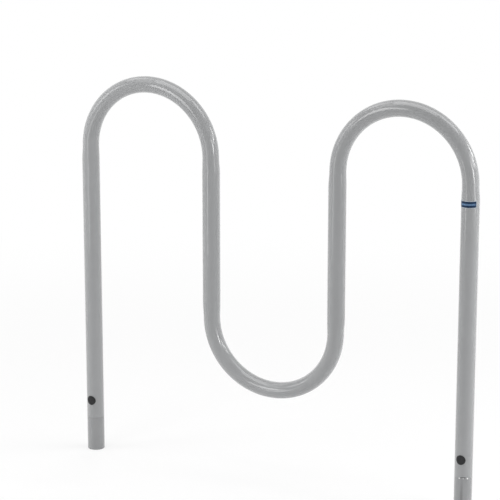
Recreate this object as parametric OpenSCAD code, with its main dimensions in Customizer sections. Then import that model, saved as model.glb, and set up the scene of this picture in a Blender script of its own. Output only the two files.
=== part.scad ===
// Wave bike rack: one bent steel tube on two bolted-down feet.
// X runs along the rack, -Y is its front, Z = 0 is the ground under the feet,
// and the origin lies halfway between the two feet.

/* [Bent tube] */
// Outer diameter of the tube
tube_od = 42.4; // [40:0.1:48]
// Wall thickness of the tube
tube_wall = 3.2; // [2.6:0.1:3.8]
// Distance between neighbouring upright runs, centre to centre
run_pitch = 325; // [260:1:400]
// Height of the two upper bends' centre points above the ground
hump_z = 775; // [660:1:860]
// Height of the lower bend's centre point above the ground
loop_z = 385; // [340:1:460]
// Chamfer round the cut ends of the tube and the top of the feet
edge_chamfer = 1.2; // [0.6:0.1:2]

/* [Feet] */
// Height of a foot, from the ground to the seam with the leg
foot_h = 85; // [60:1:110]
// Thickness of the foot's floor plate
plate_t = 6; // [4:0.5:10]
// Diameter of the ground anchor's hole in the floor plate
anchor_d = 14; // [10:0.5:18]
// Chamfer round the bottom edge of a foot
foot_chamfer = 0.5; // [0.2:0.1:1.5]

/* [Spigots] */
// Wall thickness of the inner sleeve that joins a foot to its leg
spigot_wall = 3.2; // [2.6:0.1:3.6]
// Reach of the sleeve above the seam
spigot_reach = 84; // [70:1:110]
// Gap all round between the sleeve and the leg's bore
spigot_gap = 1.15; // [0.8:0.05:1.6]
// Weld gap all round between the sleeve and the foot's bore
weld_gap = 0.15; // [0.05:0.05:0.4]

/* [Cross bolts] */
// Height of the cross bolt above the seam
bolt_up = 45; // [30:1:55]
// Thread diameter of the cross bolt
bolt_d = 8; // [6:0.5:8]
// Length of the cross bolt under its head
bolt_len = 30; // [28:0.5:31]
// Diameter of the bolt's head
head_d = 14; // [13:0.5:15]
// Height of the bolt's head
head_h = 4.4; // [3.6:0.1:4.6]
// Hexagon socket in the head, across its flats
socket_af = 5; // [4:0.5:6]
// Depth of the hexagon socket
socket_depth = 2.6; // [2:0.1:3]
// Depth of the flat cut into the sleeve under the bolt's head
spot_depth = 1.2; // [0.8:0.1:1.6]
// Clearance all round the bolt's shank and head
bolt_gap = 0.5; // [0.3:0.1:1]
// Side of the square weld nut
nut_side = 14; // [12:0.5:15]
// Thickness of the weld nut
nut_h = 6.5; // [5:0.5:7]
// Thread clearance all round between bolt and nut
thread_gap = 0.05; // [0.02:0.01:0.1]

/* [Bolt caps] */
// Diameter of the black cap over the bolt's hole
cap_d = 23; // [19:0.5:28]
// Thickness of the cap's curved face
cap_t = 1.2; // [0.8:0.1:2]
// Depth of the cap's skirt below the leg's crown
skirt_depth = 3; // [2:0.1:3.4]
// Wall of the skirt
skirt_wall = 1; // [0.8:0.1:1.4]
// Clearance all round between the skirt and the hole
skirt_gap = 0.1; // [0.05:0.05:0.3]

/* [Label] */
// Height of the label's middle above the ground
label_z = 736; // [600:1:760]
// Height of the label
label_h = 17; // [10:1:30]
// Angle that the label wraps round the leg
label_wrap = 124; // [60:1:160]
// Thickness of the label
label_t = 0.25; // [0.2:0.05:0.5]

/* [Hidden] */
$fn = 96;

tube_r = tube_od / 2;
bore_r = tube_r - tube_wall;
bend_r = run_pitch / 2;                      // centreline radius of every bend
inner_run_x = bend_r;                        // the two runs beside the lower bend
leg_x = inner_run_x + run_pitch;             // the two outer legs

spigot_r = bore_r - spigot_gap;
spigot_bore_r = spigot_r - spigot_wall;
spigot_len = foot_h + spigot_reach - plate_t;
foot_bore_r = spigot_r + weld_gap;

bolt_z = foot_h + bolt_up;
bolt_r = bolt_d / 2;
head_r = head_d / 2;
seat_y = spigot_r - spot_depth;              // the bolt head's seat, from the leg's axis
access_r = head_r + bolt_gap;                // hole in the leg's front wall
shank_hole_r = bolt_r + bolt_gap;            // holes in the sleeve's two walls
dome_r = (head_r * head_r + head_h * head_h) / (2 * head_h);
nut_back_y = sqrt(pow(spigot_bore_r, 2) - pow(nut_side / 2, 2));

skirt_r = access_r - skirt_gap;
cap_reach = tube_od;                         // longer than any cut along Y needs to be
overcut = 1;

// A shape made along +Z is laid along +Y at the cross bolt's height
module across(y) {
    translate([0, y, bolt_z]) rotate([-90, 0, 0]) children();
}

// One run of the hollow tube, upright, between two heights
module run(x, low, high) {
    translate([x, 0, low]) linear_extrude(high - low) difference() {
        circle(tube_r);
        circle(bore_r);
    }
}

// A half-circle bend of the hollow tube: up = 1 is a hump, up = -1 the loop
module bend(x, z, up) {
    translate([x, 0, z]) rotate([90 * up, 0, 0]) rotate_extrude(angle = 180)
        translate([bend_r, 0]) difference() {
            circle(tube_r);
            circle(bore_r);
        }
}

// An outer leg from the seam up to its bend, chamfered at the cut end
module leg(x) {
    translate([x, 0, 0]) difference() {
        rotate_extrude() polygon([
            [bore_r, foot_h],
            [tube_r - edge_chamfer, foot_h],
            [tube_r, foot_h + edge_chamfer],
            [tube_r, hump_z],
            [bore_r, hump_z]]);
        across(-cap_reach) cylinder(r = access_r, h = cap_reach);
    }
}

// The whole bent tube: leg, hump, run, loop, run, hump, leg
module wave_tube() {
    color("#c9cbcd") union() {
        for (side = [-1, 1]) {
            leg(side * leg_x);
            bend(side * run_pitch, hump_z, 1);
            run(side * inner_run_x, loop_z, hump_z);
        }
        bend(0, loop_z, -1);
    }
}

// A foot: a short thick cup with the ground anchor's hole in its floor
module foot(side) {
    color("#c3c6c8") translate([side * leg_x, 0, 0]) rotate_extrude() polygon([
        [anchor_d / 2, 0],
        [tube_r - foot_chamfer, 0],
        [tube_r, foot_chamfer],
        [tube_r, foot_h - edge_chamfer],
        [tube_r - edge_chamfer, foot_h],
        [foot_bore_r, foot_h],
        [foot_bore_r, plate_t],
        [anchor_d / 2, plate_t]]);
}

// The inner sleeve: stands in the foot, reaches up into the leg
module spigot(side) {
    color("#9aa0a5") translate([side * leg_x, 0, 0]) difference() {
        translate([0, 0, plate_t]) cylinder(r = spigot_r, h = spigot_len);
        translate([0, 0, plate_t - overcut])
            cylinder(r = spigot_bore_r, h = spigot_len + 2 * overcut);
        across(-cap_reach) cylinder(r = shank_hole_r, h = 2 * cap_reach);
        across(-cap_reach) cylinder(r = access_r, h = cap_reach - seat_y);
    }
}

// A square nut welded to the back of the sleeve's bore
module weld_nut(side) {
    translate([side * leg_x, 0, 0]) across(nut_back_y - nut_h) difference() {
        translate([-nut_side / 2, -nut_side / 2, 0]) cube([nut_side, nut_side, nut_h]);
        translate([0, 0, -overcut]) cylinder(r = bolt_r + thread_gap, h = nut_h + 2 * overcut);
    }
}

// A button-head bolt with a hexagon socket, head to the front
module cross_bolt(side) {
    translate([side * leg_x, 0, 0]) {
        across(-seat_y) cylinder(r = bolt_r, h = bolt_len);
        across(-seat_y - head_h) difference() {
            intersection() {
                translate([0, 0, dome_r]) sphere(dome_r);
                cylinder(r = head_r, h = head_h);
            }
            translate([0, 0, -overcut])
                cylinder(r = socket_af / 2 / cos(30), h = socket_depth + overcut, $fn = 6);
        }
    }
}

// The black cap: a disc that hugs the leg, and a skirt inside the hole
module bolt_cap(side) {
    color("#1c1c1e") translate([side * leg_x, 0, 0]) {
        intersection() {
            across(-cap_reach) cylinder(r = cap_d / 2, h = cap_reach);
            translate([0, 0, bolt_z - cap_d]) difference() {
                cylinder(r = tube_r + cap_t, h = 2 * cap_d);
                translate([0, 0, -overcut]) cylinder(r = tube_r, h = 2 * (cap_d + overcut));
            }
        }
        intersection() {
            across(skirt_depth - tube_r) rotate([180, 0, 0]) difference() {
                cylinder(r = skirt_r, h = cap_reach);
                translate([0, 0, -overcut]) cylinder(r = skirt_r - skirt_wall, h = cap_reach);
            }
            translate([0, 0, bolt_z - cap_d]) cylinder(r = tube_r + cap_t / 2, h = 2 * cap_d);
        }
    }
}

module weld_nuts() {
    color("#8f959a") for (side = [-1, 1]) weld_nut(side);
}

module cross_bolts() {
    color("#6f7478") for (side = [-1, 1]) cross_bolt(side);
}

// The label: a thin band round the front of the right leg
module label() {
    color("#1f4fa0") translate([leg_x, 0, label_z - label_h / 2])
        rotate([0, 0, -90 - label_wrap / 2]) rotate_extrude(angle = label_wrap)
            translate([tube_r, 0]) square([label_t, label_h]);
}

wave_tube();
foot(-1);  // left_foot
foot(1);  // right_foot
spigot(-1);  // left_spigot
spigot(1);  // right_spigot
weld_nuts();
cross_bolts();
bolt_cap(-1);  // left_bolt_cap
bolt_cap(1);  // right_bolt_cap
label();
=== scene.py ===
"""Wave bike rack: one bent steel tube in grey powder coat, on two feet that bolt to the ground."""
import math

import bpy
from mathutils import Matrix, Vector


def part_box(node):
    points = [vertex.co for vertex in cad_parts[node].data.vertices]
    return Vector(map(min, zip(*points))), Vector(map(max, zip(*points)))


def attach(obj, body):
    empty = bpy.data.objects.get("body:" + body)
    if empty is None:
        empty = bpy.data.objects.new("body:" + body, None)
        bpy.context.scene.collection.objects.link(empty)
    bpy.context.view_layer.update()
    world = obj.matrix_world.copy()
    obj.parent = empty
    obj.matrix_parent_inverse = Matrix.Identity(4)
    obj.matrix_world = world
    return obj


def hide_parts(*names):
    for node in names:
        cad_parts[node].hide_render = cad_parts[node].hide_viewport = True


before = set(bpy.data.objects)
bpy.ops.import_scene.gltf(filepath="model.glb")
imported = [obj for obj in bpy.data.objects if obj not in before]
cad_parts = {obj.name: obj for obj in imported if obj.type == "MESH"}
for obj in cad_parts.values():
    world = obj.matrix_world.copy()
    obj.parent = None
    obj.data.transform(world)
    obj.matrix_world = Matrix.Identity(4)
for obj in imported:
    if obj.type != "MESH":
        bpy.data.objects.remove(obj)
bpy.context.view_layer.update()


# Feet
# Two short cups of heavy steel tube, each with a floor plate that a ground anchor goes through.
# They are powder-coated apart from the bent tube, so their grey is a shade darker than its grey.
# On the right, painted glints and painted groove shade lie along the seam, and a painted dark reflection
# runs down.

foot_low, foot_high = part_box("right_foot")
leg_x = (foot_low.x + foot_high.x) / 2
tube_r = (foot_high.x - foot_low.x) / 2
seam_z = foot_high.z
foot_bore_r = 0.017
plate_t = 0.006
anchor_r = 0.007
edge_round = 0.0011
tube_sides = 72
merge_reach = 0.00001
rounded_above = math.radians(50)
smooth_below = math.radians(35)


def begin(name, add_primitive, **size):
    """Adds a primitive with its place in its mesh, and opens it for editing with all of it selected."""
    bpy.ops.object.select_all(action="DESELECT")
    add_primitive(**size)
    piece = bpy.context.object
    piece.name = name
    bpy.ops.object.transform_apply()
    bpy.context.tool_settings.mesh_select_mode = (True, False, False)
    bpy.ops.object.mode_set(mode="EDIT")
    bpy.ops.mesh.select_all(action="SELECT")
    return piece


def draw_out(start_z, end_z, start_r=1, end_r=1, axis_x=0):
    """Draws the open end out to another height, and to another radius about an upright axis."""
    bpy.ops.mesh.extrude_edges_move(TRANSFORM_OT_translate={"value": (0, 0, end_z - start_z)})
    if end_r != start_r:
        ratio = end_r / start_r
        bpy.ops.transform.resize(value=(ratio, ratio, 1), center_override=(axis_x, 0, 0))


def close_up():
    """Merges the ends that meet, turns the faces outwards and ends the editing."""
    bpy.ops.mesh.select_all(action="SELECT")
    bpy.ops.mesh.remove_doubles(threshold=merge_reach)
    bpy.ops.mesh.normals_make_consistent(inside=False)
    bpy.ops.object.mode_set(mode="OBJECT")


def apply_modifier(piece, kind, **settings):
    """Adds a modifier to the active piece and applies it."""
    modifier = piece.modifiers.new(kind, kind)
    for name, value in settings.items():
        setattr(modifier, name, value)
    bpy.ops.object.modifier_apply(modifier=modifier.name)


def round_edges(piece, width):
    """Rounds the piece's sharp edges, and keeps its broad faces true beside them."""
    apply_modifier(piece, "BEVEL", width=width, segments=3,
                   limit_method="ANGLE", angle_limit=rounded_above)
    bpy.ops.object.shade_smooth_by_angle(angle=smooth_below)
    apply_modifier(piece, "WEIGHTED_NORMAL", keep_sharp=True)


def copy_to_left(name):
    """Copies the active piece, with a mesh of its own, from the right leg to the left."""
    bpy.ops.object.duplicate()
    bpy.ops.transform.translate(value=(-2 * leg_x, 0, 0))
    bpy.ops.object.transform_apply()
    bpy.context.object.name = name
    return bpy.context.object


right_cup = begin("right_foot_cup", bpy.ops.mesh.primitive_circle_add,
                  vertices=tube_sides, radius=tube_r, location=(leg_x, 0, 0))
wall = ((tube_r, 0), (tube_r, seam_z), (foot_bore_r, seam_z), (foot_bore_r, plate_t),
        (anchor_r, plate_t), (anchor_r, 0), (tube_r, 0))
for (start_r, start_z), (end_r, end_z) in zip(wall, wall[1:]):
    draw_out(start_z, end_z, start_r, end_r, leg_x)
close_up()
round_edges(right_cup, edge_round)


class Signal:
    """A shader socket. Arithmetic on it adds the Math nodes that work the result out."""

    def __init__(self, finish, socket):
        self.finish = finish
        self.socket = socket

    def math(self, operation, *values):
        return self.finish.add("ShaderNodeMath", {"operation": operation}, dict(enumerate(values)))

    def __add__(self, other):
        return self.math("ADD", self, other)

    def __sub__(self, other):
        return self.math("SUBTRACT", self, other)

    def __rsub__(self, other):
        return self.math("SUBTRACT", other, self)

    def __mul__(self, other):
        return self.math("MULTIPLY", self, other)

    def __abs__(self):
        return self.math("ABSOLUTE", self)

    __radd__ = __add__
    __rmul__ = __mul__

    def greatest(self, other):
        """The greater of the two, place by place."""
        return self.math("MAXIMUM", self, other)

    def rise(self, start, end):
        """0 up to start, 1 from end on, and a smooth step between them."""
        settings = {"interpolation_type": "SMOOTHSTEP"}
        return self.finish.add("ShaderNodeMapRange", settings, {0: self, 1: start, 2: end})

    def fall(self, start, end):
        """1 up to start, 0 from end on, and a smooth step between them."""
        return 1 - self.rise(start, end)


class Finish:
    """The shader nodes of one material, added to a Principled shader."""

    def __init__(self, name):
        self.material = bpy.data.materials.new(name)
        self.material.use_nodes = True
        self.tree = self.material.node_tree
        self.shader = self.tree.nodes["Principled BSDF"]

    def add(self, kind, settings, sockets, output=0):
        """Adds a node: first its settings, then its sockets' values or links. Returns one output."""
        node = self.tree.nodes.new(kind)
        for name, value in settings.items():
            setattr(node, name, value)
        for name, value in sockets.items():
            self.fill(node, name, value)
        return Signal(self, node.outputs[output])

    def fill(self, node, name, value):
        if isinstance(value, Signal):
            self.tree.links.new(value.socket, node.inputs[name])
        else:
            node.inputs[name].default_value = value

    def set(self, **sockets):
        """Fills the shader's own sockets; an underscore stands for a space in a socket's name."""
        for name, value in sockets.items():
            self.fill(self.shader, name.replace("_", " "), value)

    def place(self, coordinates="Object"):
        """The place on the surface, in metres, or with UV as shares of the flat piece's sides."""
        return self.add("ShaderNodeTexCoord", {}, {}, coordinates)

    def along(self, axis, coordinates="Object"):
        """The place on the surface along one axis."""
        return self.add("ShaderNodeSeparateXYZ", {}, {0: self.place(coordinates)}, axis)

    def noise(self, size, detail=2.0, stretch=(1, 1, 1)):
        """Soft noise with patches of about this size in metres, drawn out along an axis by stretch."""
        scale = [1 / (size * s) for s in stretch]
        drawn = self.add("ShaderNodeMapping", {}, {"Vector": self.place(), "Scale": scale})
        return self.add("ShaderNodeTexNoise", {}, {"Vector": drawn, "Scale": 1.0, "Detail": detail})

    def mix(self, share, first, second):
        """A colour between two, by a share from 0 to 1."""
        return self.add("ShaderNodeMix", {"data_type": "RGBA"}, {0: share, 6: first, 7: second}, 2)

    def bump(self, height, depth):
        """A surface that stands proud by depth, in metres, where height is 1."""
        return self.add("ShaderNodeBump", {}, {"Height": height, "Distance": depth})


# Each painted glint's turn from the leg's front, and its radius. Painted shade of the seam's groove lies
# round the middle one.
painted_glints = ((math.radians(-5), 0.0036), (math.radians(19.5), 0.0030), (math.radians(47), 0.0038))
glint_fade = 0.0004
seam_mark_flatness = 1.5
glint_white = (0.90, 0.90, 0.89, 1)
raggedness = 0.004
# Painted shade of the seam's groove, just above the seam and round the middle glint.
groove_shade_turn = painted_glints[1][0]
groove_shade_ends = (0.008, 0.011)
groove_shade_above_seam = 0.0007
groove_shade_edges = (0.0009, 0.0015)
groove_shade_raggedness = 0.003
groove_shade_share = 0.85
groove_shade_black = (0.04, 0.04, 0.04, 1)
# A faint painted dark reflection down the front of the right foot: its turn, its edges, its ends and its
# share.
dark_reflection_turn = math.radians(10)
dark_reflection_edges = (0.003, 0.007)
dark_reflection_ends = (-0.045, 0.02)
dark_reflection_share = 0.35


def seam_glints_and_shade(coat, ragged):
    """Two masks for the right leg: ragged painted glints at its seam, and painted shade in its groove with
    a painted dark reflection below.
    """
    x, y, above_seam = coat.along("X"), coat.along("Y"), coat.along("Z") - seam_z

    def away_from(turn, flatness=seam_mark_flatness):
        """The distance to the seam's point at this turn, in which a height counts flatness times."""
        here = coat.add("ShaderNodeCombineXYZ", {}, {0: x, 1: y, 2: flatness * above_seam})
        point = (leg_x + tube_r * math.sin(turn), -tube_r * math.cos(turn), 0)
        away = coat.add("ShaderNodeVectorMath", {"operation": "DISTANCE"}, {0: here, 1: point}, "Value")
        return away + raggedness * ragged

    glints = sum(away_from(turn).fall(r, r + glint_fade) for turn, r in painted_glints)
    from_groove_shade = abs(above_seam - groove_shade_raggedness * ragged - groove_shade_above_seam)
    painted_shade = away_from(groove_shade_turn).fall(*groove_shade_ends) * from_groove_shade.fall(*groove_shade_edges)
    dark_reflection = away_from(dark_reflection_turn, 0).fall(*dark_reflection_edges) * above_seam.fall(*dark_reflection_ends)
    return glints, groove_shade_share * painted_shade + dark_reflection_share * dark_reflection


def powder_coat(name, dark_grey, pale_grey):
    """Gloss polyester powder: a slight mottle in its grey, fine grain, orange peel in its gloss, and
    painted glints and shade at the right seam.
    """
    coat = Finish(name)
    mottle = coat.noise(0.03, 3.0)
    grain = coat.noise(0.0008)
    peel = coat.noise(0.003, 1.0)
    # Painted glints, painted groove shade and a painted dark reflection at the right leg's seam, mixed
    # into the grey.
    glints, painted_shade = seam_glints_and_shade(coat, coat.noise(0.0018, 3.0))
    coat_grey = coat.mix(0.6 * mottle + 0.4 * grain, dark_grey, pale_grey)
    shaded_coat = coat.mix(painted_shade, coat_grey, groove_shade_black)
    coat.set(
        Base_Color=coat.mix(glints, shaded_coat, glint_white),
        Roughness=0.12 + 0.05 * mottle,
        Coat_Weight=0.8,
        Coat_Roughness=0.08,
        Normal=coat.bump(peel, 0.00001),
    )
    return coat


foot_coat = powder_coat("foot_coat", (0.248, 0.252, 0.257, 1), (0.292, 0.296, 0.301, 1))
right_cup.data.materials.append(foot_coat.material)
left_cup = copy_to_left("left_foot_cup")
for cup, node in ((left_cup, "left_foot"), (right_cup, "right_foot")):
    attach(cup, "root")
    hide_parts(node)


# Inner sleeves
# A length of drawn steel pipe stands in each foot, welded at its rim, and the leg slides down over it.
# It is zinc-plated and keeps fine draw lines along its length.

drawn_zinc = Finish("drawn_zinc")
draw_lines = drawn_zinc.noise(0.0006, stretch=(1, 1, 60))
spangle = drawn_zinc.noise(0.006)
drawn_zinc.set(
    Base_Color=drawn_zinc.mix(spangle, (0.50, 0.52, 0.55, 1), (0.66, 0.68, 0.70, 1)),
    Metallic=1.0,
    Roughness=0.26 + 0.22 * draw_lines,
    Normal=drawn_zinc.bump(draw_lines, 0.00002),
)
for node in ("left_spigot", "right_spigot"):
    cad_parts[node].material_slots[0].material = drawn_zinc.material


# Cross bolts and weld nuts
# A button-head bolt goes through each sleeve from the front, into a square nut welded inside its back.
# Both are blue-zinc-plated steel, dull in the hollows of the plating.

blue_zinc = Finish("blue_zinc")
plating = blue_zinc.noise(0.0015, 4.0)
blue_zinc.set(
    Base_Color=blue_zinc.mix(plating, (0.46, 0.49, 0.54, 1), (0.64, 0.67, 0.71, 1)),
    Metallic=1.0,
    Roughness=0.24 + 0.24 * plating,
    Normal=blue_zinc.bump(plating, 0.00002),
)
for node in ("weld_nuts", "cross_bolts"):
    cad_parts[node].material_slots[0].material = blue_zinc.material


# Bent tube
# One length of steel tube, bent cold round a former three times and powder-coated light grey.
# The former flattens each bend a little, more on its outside, and the ends are cut square.

tube_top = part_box("wave_tube")[1].z
run_x = leg_x / 3
bend_r = run_x
hump_z = tube_top - bend_r - tube_r
loop_floor = min(v.co.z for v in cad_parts["wave_tube"].data.vertices if abs(v.co.x) < tube_r)
loop_z = loop_floor + tube_r + bend_r
tube_wall = 0.0032
bend_steps = 60
bend_width = 0.925
flattening_starts = 0.035
ramp_steps = 5
outside_share = 0.7
cap_low, cap_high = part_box("right_bolt_cap")
cap_z = (cap_low.z + cap_high.z) / 2
bolt_hole_r = 0.0075
bolt_hole_sides = 48


def press(x, inner_side, start_z, end_z, first_width, last_width):
    """Draws the open end out and changes its width in the bend's plane, mostly on the bend's outside."""
    pivot = x + inner_side * (2 * outside_share - 1) * tube_r
    width = first_width
    for step in range(1, ramp_steps + 1):
        done = step / ramp_steps
        draw_out(0, (end_z - start_z) / ramp_steps)
        wanted = first_width + (last_width - first_width) * done * done * (3 - 2 * done)
        bpy.ops.transform.resize(value=(wanted / width, 1, 1), center_override=(pivot, 0, 0))
        width = wanted


def bend(from_x, to_x, z, turn):
    """A half-round bend to the next run on the right: turn is 1 over a hump and -1 round the loop."""
    near_z = z - turn * flattening_starts
    middle = ((from_x + to_x) / 2, 0, z)
    press(from_x, 1, near_z, z, 1, bend_width)
    bpy.ops.mesh.spin(steps=bend_steps, angle=-turn * math.pi, center=middle, axis=(0, 1, 0))
    press(to_x, -1, z, near_z, bend_width, 1)


bent_tube = begin("bent_tube", bpy.ops.mesh.primitive_circle_add,
                  vertices=tube_sides, radius=tube_r, location=(-leg_x, 0, seam_z))
hole_rows = (cap_low.z, cap_z, cap_high.z)
hump_near, loop_near = hump_z - flattening_starts, loop_z + flattening_starts
for start_z, end_z in zip((seam_z, *hole_rows), (*hole_rows, hump_near)):
    draw_out(start_z, end_z)
bend(-leg_x, -run_x, hump_z, 1)
draw_out(hump_near, loop_near)
bend(-run_x, run_x, loop_z, -1)
draw_out(loop_near, hump_near)
bend(run_x, leg_x, hump_z, 1)
for start_z, end_z in zip((hump_near, *reversed(hole_rows)), (*reversed(hole_rows), seam_z)):
    draw_out(start_z, end_z)
close_up()
apply_modifier(bent_tube, "SOLIDIFY", thickness=tube_wall, offset=-1, use_even_offset=True)
for side in (-1, 1):
    drill = begin("drill", bpy.ops.mesh.primitive_cylinder_add,
                  vertices=bolt_hole_sides, radius=bolt_hole_r, depth=2 * tube_r,
                  location=(side * leg_x, -tube_r, cap_z), rotation=(math.pi / 2, 0, 0))
    bpy.ops.object.mode_set(mode="OBJECT")
    bpy.context.view_layer.objects.active = bent_tube
    apply_modifier(bent_tube, "BOOLEAN", operation="DIFFERENCE", solver="EXACT", object=drill)
    bpy.data.objects.remove(drill)
bpy.ops.object.select_all(action="DESELECT")
bent_tube.select_set(True)
round_edges(bent_tube, edge_round)

tube_coat = powder_coat("tube_coat", (0.280, 0.285, 0.290, 1), (0.325, 0.330, 0.335, 1))
bent_tube.data.materials.append(tube_coat.material)
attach(bent_tube, "root")
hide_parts("wave_tube")


# Bolt caps
# Black polyethylene plugs that push into the legs' holes and hide the bolts.
# Each is moulded to the tube's curve, with a rounded rim, and satin from a fine-blasted mould.

cap_r = (cap_high.z - cap_low.z) / 2
cap_t = 0.0012
skirt_r, skirt_bore_r = 0.0074, 0.0064
skirt_depth = 0.003
dish_depth = 0.0004
gate_r, gate_h = 0.0009, 0.0002
cap_rings = (0.0107, 0.009, skirt_r, skirt_bore_r, 0.0045, 0.0025, gate_r)
rim_round = 0.0004


def select_faces(piece, chosen):
    """Selects the faces that pass a test and nothing else, and opens the piece for editing."""
    bpy.context.tool_settings.mesh_select_mode = (False, False, True)
    bpy.ops.object.mode_set(mode="EDIT")
    bpy.ops.mesh.select_all(action="DESELECT")
    bpy.ops.object.mode_set(mode="OBJECT")
    for face in piece.data.polygons:
        face.select = chosen(face)
    bpy.ops.object.mode_set(mode="EDIT")


def from_cap_axis(face):
    """How far a face's middle lies from the right cap's axis."""
    return math.hypot(face.center.x - leg_x, face.center.z - cap_z)


former = begin("former", bpy.ops.mesh.primitive_cylinder_add,
               vertices=5 * tube_sides, radius=tube_r + cap_t, depth=4 * cap_r, location=(leg_x, 0, cap_z))
bpy.ops.object.mode_set(mode="OBJECT")
right_plug = begin("right_plug", bpy.ops.mesh.primitive_circle_add,
                   vertices=tube_sides, radius=cap_r, fill_type="NGON",
                   location=(leg_x, -2 * tube_r, cap_z), rotation=(math.pi / 2, 0, 0))
for ring_r, next_r in zip((cap_r, *cap_rings), cap_rings):
    bpy.ops.mesh.inset(thickness=ring_r - next_r)
bpy.ops.object.mode_set(mode="OBJECT")
apply_modifier(right_plug, "SHRINKWRAP", target=former, wrap_method="PROJECT", use_project_y=True)
bpy.data.objects.remove(former)

select_faces(right_plug, lambda face: from_cap_axis(face) < skirt_bore_r)
bpy.ops.transform.translate(value=(0, dish_depth, 0))
select_faces(right_plug, lambda face: from_cap_axis(face) < gate_r)
bpy.ops.mesh.extrude_region_move(TRANSFORM_OT_translate={"value": (0, -gate_h, 0)})
bpy.ops.object.mode_set(mode="OBJECT")
apply_modifier(right_plug, "SOLIDIFY", thickness=cap_t, offset=-1, use_even_offset=True)
select_faces(right_plug, lambda face: skirt_bore_r < from_cap_axis(face) < skirt_r and face.normal.y > 0)
bpy.ops.mesh.extrude_region_move(TRANSFORM_OT_translate={"value": (0, skirt_depth, 0)})
bpy.ops.transform.resize(value=(1, 0, 1), center_override=(0, skirt_depth - tube_r, 0))
bpy.ops.object.mode_set(mode="OBJECT")
round_edges(right_plug, rim_round)

black_plastic = Finish("black_plastic")
mould_grain = black_plastic.noise(0.0005)
scuffs = black_plastic.noise(0.004, 3.0)
black_plastic.set(
    Base_Color=black_plastic.mix(scuffs, (0.010, 0.010, 0.011, 1), (0.028, 0.028, 0.030, 1)),
    Roughness=0.34 + 0.12 * mould_grain + 0.14 * scuffs,
    Specular_IOR_Level=0.3,
    Normal=black_plastic.bump(mould_grain, 0.00003),
)
right_plug.data.materials.append(black_plastic.material)
left_plug = copy_to_left("left_plug")
for plug, node in ((left_plug, "left_bolt_cap"), (right_plug, "right_bolt_cap")):
    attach(plug, "root")
    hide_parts(node)


# Label
# A strip of printed vinyl film wrapped by hand round the front of the right leg, a little askew.
# It is plain: a navy, a light blue and a navy band inside a narrow pale border, under gloss.

label_low, label_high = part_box("label")
label_z = (label_low.z + label_high.z) / 2
label_h = label_high.z - label_low.z
label_wrap = 2 * math.asin((label_high.x - leg_x) / -label_low.y)
label_t = 0.00025
glue_t = 0.00002
film_r = tube_r + glue_t
corner_round = 0.0015
label_columns = 40
askew = math.radians(2)
print_middle = 0.5
# Where the print changes, as shares of the label's height or length from its middle
navy_from = (0.117, 0.127)
top_border_from = (0.405, 0.415)
darker_from = (0.33, 0.40)
end_border_from = (0.462, 0.466)
darker_share = 0.6
pale_border = (0.42, 0.46, 0.50, 1)

wrapped_label = begin("wrapped_label", bpy.ops.mesh.primitive_plane_add,
                      size=1, rotation=(math.pi / 2, 0, 0))
bpy.ops.transform.resize(value=(label_wrap * film_r, 1, label_h))
bpy.ops.mesh.bevel(offset=corner_round, segments=4, affect="VERTICES")
bpy.ops.mesh.select_all(action="SELECT")
bpy.ops.transform.rotate(value=askew, orient_axis="Y", center_override=(0, 0, 0))
for column in range(1, label_columns):
    bpy.ops.mesh.select_all(action="SELECT")
    cut_x = (column / label_columns - 0.5) * label_wrap * film_r
    bpy.ops.mesh.bisect(plane_co=(cut_x, 0, 0), plane_no=(1, 0, 0))
bpy.ops.object.mode_set(mode="OBJECT")
flat_xs = [v.co.x for v in wrapped_label.data.vertices]
bent_by = (max(flat_xs) - min(flat_xs)) / film_r
apply_modifier(wrapped_label, "SIMPLE_DEFORM", deform_method="BEND", deform_axis="Z", angle=bent_by)
apply_modifier(wrapped_label, "SOLIDIFY", thickness=label_t, offset=1, use_even_offset=True)
bpy.ops.transform.translate(value=(leg_x, -film_r, label_z))
bpy.ops.object.transform_apply()
bpy.ops.object.shade_smooth_by_angle(angle=smooth_below)

label_film = Finish("label_film")
from_middle_row = abs(label_film.along("Y", "UV") - print_middle)
from_middle_column = abs(label_film.along("X", "UV") - print_middle)
navy = from_middle_row.rise(*navy_from).greatest(darker_share * from_middle_column.rise(*darker_from))
border = from_middle_row.rise(*top_border_from).greatest(from_middle_column.rise(*end_border_from))
ink = label_film.noise(0.003, 3.0)
light_blue = label_film.mix(ink, (0.100, 0.185, 0.325, 1), (0.125, 0.220, 0.365, 1))
dark_blue = label_film.mix(ink, (0.002, 0.018, 0.050, 1), (0.006, 0.032, 0.085, 1))
blues = label_film.mix(navy, light_blue, dark_blue)
label_film.set(
    Base_Color=label_film.mix(border, blues, pale_border),
    Roughness=0.14 + 0.12 * ink,
    Specular_IOR_Level=0.2,
    Normal=label_film.bump(ink, 0.00002),
)
wrapped_label.data.materials.append(label_film.material)
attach(wrapped_label, "root")
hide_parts("label")


# Floor
# A pale studio floor of matt paper, with no joins.
# It keeps the rack's soft shadow near the feet and runs out to plain white.

floor_reach = 20.0
shadow_depth = 0.30
shadow_fades = (0.8, 2.4)
plain_white = (1, 1, 1, 1)
floor = begin("floor", bpy.ops.mesh.primitive_plane_add, size=2 * floor_reach)
bpy.ops.object.mode_set(mode="OBJECT")


def seen(finish):
    """1 for rays that see a surface from the camera, in a reflection or through glass, and 0 for light."""
    rays = ("Is Camera Ray", "Is Glossy Ray", "Is Transmission Ray")
    direct, mirrored, through = (finish.add("ShaderNodeLightPath", {}, {}, ray) for ray in rays)
    return direct.greatest(mirrored).greatest(through)


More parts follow.
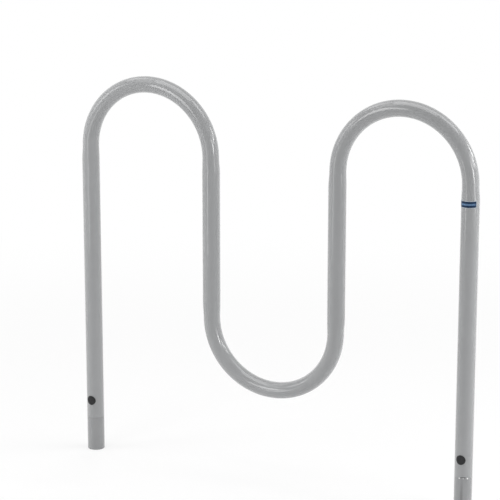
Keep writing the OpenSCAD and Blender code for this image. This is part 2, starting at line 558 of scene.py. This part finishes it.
paper = Finish("paper")
paper.set(Base_Color=(0.96, 0.96, 0.96, 1), Roughness=0.9, Specular_IOR_Level=0.0)
distance = paper.add("ShaderNodeVectorMath", {"operation": "LENGTH"}, {0: paper.place()}, "Value")
white_share = seen(paper) * (1 - shadow_depth * distance.fall(*shadow_fades))
white = paper.add("ShaderNodeEmission", {}, {"Color": plain_white, "Strength": 1.0})
lit_paper = Signal(paper, paper.shader.outputs[0])
mixed = paper.add("ShaderNodeMixShader", {}, {0: white_share, 1: lit_paper, 2: white})
paper.tree.links.new(mixed.socket, paper.tree.nodes["Material Output"].inputs["Surface"])
floor.data.materials.append(paper.material)


# Light
# An even white surround, and softboxes to the left, to the right and overhead. Their edges draw the long
# streaks on the tube's gloss. Four fills, one close to the right leg, lift the grey and leave no streak.

surround_level = 0.262
rack_middle = Vector((0, 0, tube_top / 2))


class Surround(Finish):
    """The shader nodes of the world."""

    def __init__(self, name):
        world = bpy.data.worlds.new(name)
        world.use_nodes = True
        bpy.context.scene.world = world
        self.tree = world.node_tree
        self.shader = self.tree.nodes["Background"]


surround = Surround("surround")
surround.set(Color=plain_white, Strength=surround_level + (1 - surround_level) * seen(surround))


def stand(name, fitting, aim, azimuth, elevation, distance):
    """Stands a lamp or a lens off from a point that it faces, by degrees from the front and degrees up."""
    holder = bpy.data.objects.new(name, fitting)
    bpy.context.scene.collection.objects.link(holder)
    a, e = math.radians(azimuth), math.radians(elevation)
    outward = Vector((math.sin(a) * math.cos(e), -math.cos(a) * math.cos(e), math.sin(e)))
    holder.location = aim + distance * outward
    holder.rotation_euler = outward.to_track_quat("Z", "Y").to_euler()
    return holder


def softbox(name, place, size, level, in_gloss=True):
    """A lamp at an azimuth, elevation and distance, with a width and height. White paper's level is 1."""
    lamp = bpy.data.lights.new(name, "AREA")
    lamp.shape = "RECTANGLE"
    lamp.size, lamp.size_y = size
    lamp.energy = level * math.pi * lamp.size * lamp.size_y
    holder = stand(name, lamp, rack_middle, *place)
    holder.visible_camera = False
    holder.visible_glossy = in_gloss


softbox("left_box", (-28, 22, 2.0), (0.42, 0.84), 3.35)
softbox("front_box", (-16, 22, 2.0), (0.42, 0.84), 2.45)
softbox("low_left_box", (-26, -5, 1.76), (0.25, 0.45), 2.3)
softbox("far_left_box", (-62, 22, 2.0), (0.42, 0.84), 2.0)
softbox("right_box", (79, 8, 2.2), (0.46, 0.46), 6.8)
softbox("high_right_strip", (96, 20, 2.2), (0.92, 0.46), 1.85)
softbox("low_right_strip", (82, -2, 2.34), (0.40, 0.30), 2.4)
softbox("near_strip", (74, 15, 2.73), (0.40, 0.30), 4.4)
softbox("far_strip", (110, 16, 2.72), (0.40, 0.35), 5.7)
softbox("far_right_box", (122, 24, 2.39), (0.30, 0.50), 7.5)
softbox("ceiling_box", (0, 90, 2.9), (2.2, 2.2), 1.8)
softbox("high_left_box", (-52, 55, 2.9), (1.2, 1.2), 0.77)
softbox("high_far_left_box", (-105, 55, 2.9), (1.2, 1.2), 1.2)
softbox("high_right_box", (112, 55, 2.9), (1.2, 1.2), 2.0)
softbox("left_fill", (-65, 10, 4.0), (2.4, 2.4), 3.27, in_gloss=False)
softbox("right_fill", (118, 12, 4.0), (2.4, 2.4), 2.05, in_gloss=False)
softbox("leg_fill", (92, 6, 1.5), (0.5, 1.1), 1.5, in_gloss=False)
softbox("back_fill", (200, 15, 4.0), (2.4, 2.4), 2.0, in_gloss=False)


# Camera
# A long lens, a little to the right of the rack and above it.
# Its view isn't shifted, so the rack stays in the frame from other sides too.

aim = Vector((-0.0605, 0, seam_z + 0.477))
lens = bpy.data.cameras.new("camera")
lens.sensor_width = 36
lens.lens = 162.0
bpy.context.scene.camera = stand("camera", lens, aim, azimuth=25.6, elevation=15.2, distance=5.316)
bpy.context.scene.view_settings.view_transform = "Standard"
